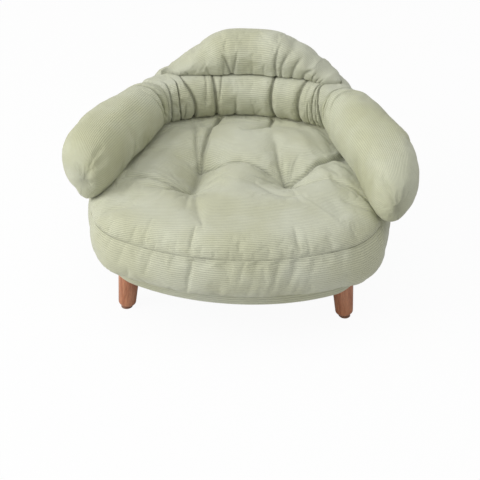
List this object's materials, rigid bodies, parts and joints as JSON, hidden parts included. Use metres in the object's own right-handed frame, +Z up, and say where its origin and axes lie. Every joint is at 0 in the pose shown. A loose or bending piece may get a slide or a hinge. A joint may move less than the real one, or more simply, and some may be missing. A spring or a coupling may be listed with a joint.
{
  "type": "small pet sofa",
  "caption": "Small pet sofa: an oval tufted seat cushion on a low base with splayed wooden legs, with a curved back and padded arms, all in ribbed cloth.",
  "frame": {"origin": "on the floor, midway across the whole outline in X and in Y", "axes": "+Z up from the floor; -Y is the open front of the seat and +Y the back; +X is to the right of someone who looks at the front, where the longer arm is"},
  "size_m": [0.5353, 0.4794, 0.334],
  "materials": {
    "corduroy": "soft fine-ribbed corduroy, pale sage green",
    "fibre_filling": "loose polyester fibre",
    "twine": "twisted cord",
    "plywood": "raw plywood",
    "dust_cloth": "thin non-woven cloth",
    "plated_steel": "zinc plated",
    "leg_wood": "stained and varnished, reddish brown",
    "foot_felt": "pressed felt",
    "washer_rubber": "matt",
    "zip_cloth": "woven tape",
    "zip_nylon": "nylon coil",
    "zip_metal": "plated"
  },
  "bodies": {
    "sofa": {"base_board": "plywood", "base_band": "corduroy", "dust_cover": "dust_cloth", "leg_plate_front_left": "plated_steel", "leg_plate_front_right": "plated_steel", "leg_plate_rear_left": "plated_steel", "leg_plate_rear_right": "plated_steel", "plate_screws": "plated_steel", "seat_bottom_cover": "corduroy", "seat_side_band": "corduroy", "seat_top_cover": "corduroy", "seat_filling": "fibre_filling", "tuft_ties": "twine", "lower_back_cover": "corduroy", "lower_back_filling": "fibre_filling", "upper_back_cover": "corduroy", "upper_back_filling": "fibre_filling", "left_arm_cover": "corduroy", "left_arm_filling": "fibre_filling", "right_arm_cover": "corduroy", "right_arm_filling": "fibre_filling", "zip_tapes": "zip_cloth", "zip_coil": "zip_nylon", "zip_stops": "zip_metal"},
    "zip_slider": {"zip_slider": "zip_metal"},
    "zip_pull": {"zip_pull": "zip_metal"},
    "washer_front_left": {"washer_front_left": "washer_rubber"},
    "leg_front_left": {"leg_front_left": "leg_wood", "bolt_front_left": "plated_steel", "foot_pad_front_left": "foot_felt"},
    "washer_front_right": {"washer_front_right": "washer_rubber"},
    "leg_front_right": {"leg_front_right": "leg_wood", "bolt_front_right": "plated_steel", "foot_pad_front_right": "foot_felt"},
    "washer_rear_left": {"washer_rear_left": "washer_rubber"},
    "leg_rear_left": {"leg_rear_left": "leg_wood", "bolt_rear_left": "plated_steel", "foot_pad_rear_left": "foot_felt"},
    "washer_rear_right": {"washer_rear_right": "washer_rubber"},
    "leg_rear_right": {"leg_rear_right": "leg_wood", "bolt_rear_right": "plated_steel", "foot_pad_rear_right": "foot_felt"}
  },
  "joints": [
    {"name": "leg_front_left_out", "type": "slide", "parent": "sofa", "child": "washer_front_left", "axis": [-0.1098, -0.0989, -0.989], "range_m": [0, 0.01]},
    {"name": "leg_front_left_unscrew", "type": "hinge", "parent": "washer_front_left", "child": "leg_front_left", "pos_m": [-0.165, -0.126, 0.076], "axis": [-0.1098, -0.0989, -0.989], "range_deg": [0, 2880]},
    {"name": "leg_front_right_out", "type": "slide", "parent": "sofa", "child": "washer_front_right", "axis": [0.1098, -0.0989, -0.989], "range_m": [0, 0.01]},
    {"name": "leg_front_right_unscrew", "type": "hinge", "parent": "washer_front_right", "child": "leg_front_right", "pos_m": [0.165, -0.126, 0.076], "axis": [0.1098, -0.0989, -0.989], "range_deg": [0, 2880]},
    {"name": "leg_rear_left_out", "type": "slide", "parent": "sofa", "child": "washer_rear_left", "axis": [-0.1098, 0.0989, -0.989], "range_m": [0, 0.01]},
    {"name": "leg_rear_left_unscrew", "type": "hinge", "parent": "washer_rear_left", "child": "leg_rear_left", "pos_m": [-0.165, 0.098, 0.076], "axis": [-0.1098, 0.0989, -0.989], "range_deg": [0, 2880]},
    {"name": "leg_rear_right_out", "type": "slide", "parent": "sofa", "child": "washer_rear_right", "axis": [0.1098, 0.0989, -0.989], "range_m": [0, 0.01]},
    {"name": "leg_rear_right_unscrew", "type": "hinge", "parent": "washer_rear_right", "child": "leg_rear_right", "pos_m": [0.165, 0.098, 0.076], "axis": [0.1098, 0.0989, -0.989], "range_deg": [0, 2880]},
    {"name": "zip_slider_run", "type": "hinge", "parent": "sofa", "child": "zip_slider", "pos_m": [0, -0.16348, 0.132], "axis": [0, 0, 1], "range_deg": [0, 48]},
    {"name": "zip_pull_swing", "type": "hinge", "parent": "zip_slider", "child": "zip_pull", "pos_m": [0.15503, 0.18464, 0.132], "axis": [0.9135, -0.4068, 0], "range_deg": [0, 150]}
  ],
  "couplings": [
    {"joint": "leg_front_left_unscrew", "follows": "leg_front_left_out", "rad_per_m": 5026.5},
    {"joint": "leg_front_right_unscrew", "follows": "leg_front_right_out", "rad_per_m": 5026.5},
    {"joint": "leg_rear_left_unscrew", "follows": "leg_rear_left_out", "rad_per_m": 5026.5},
    {"joint": "leg_rear_right_unscrew", "follows": "leg_rear_right_out", "rad_per_m": 5026.5}
  ]
}
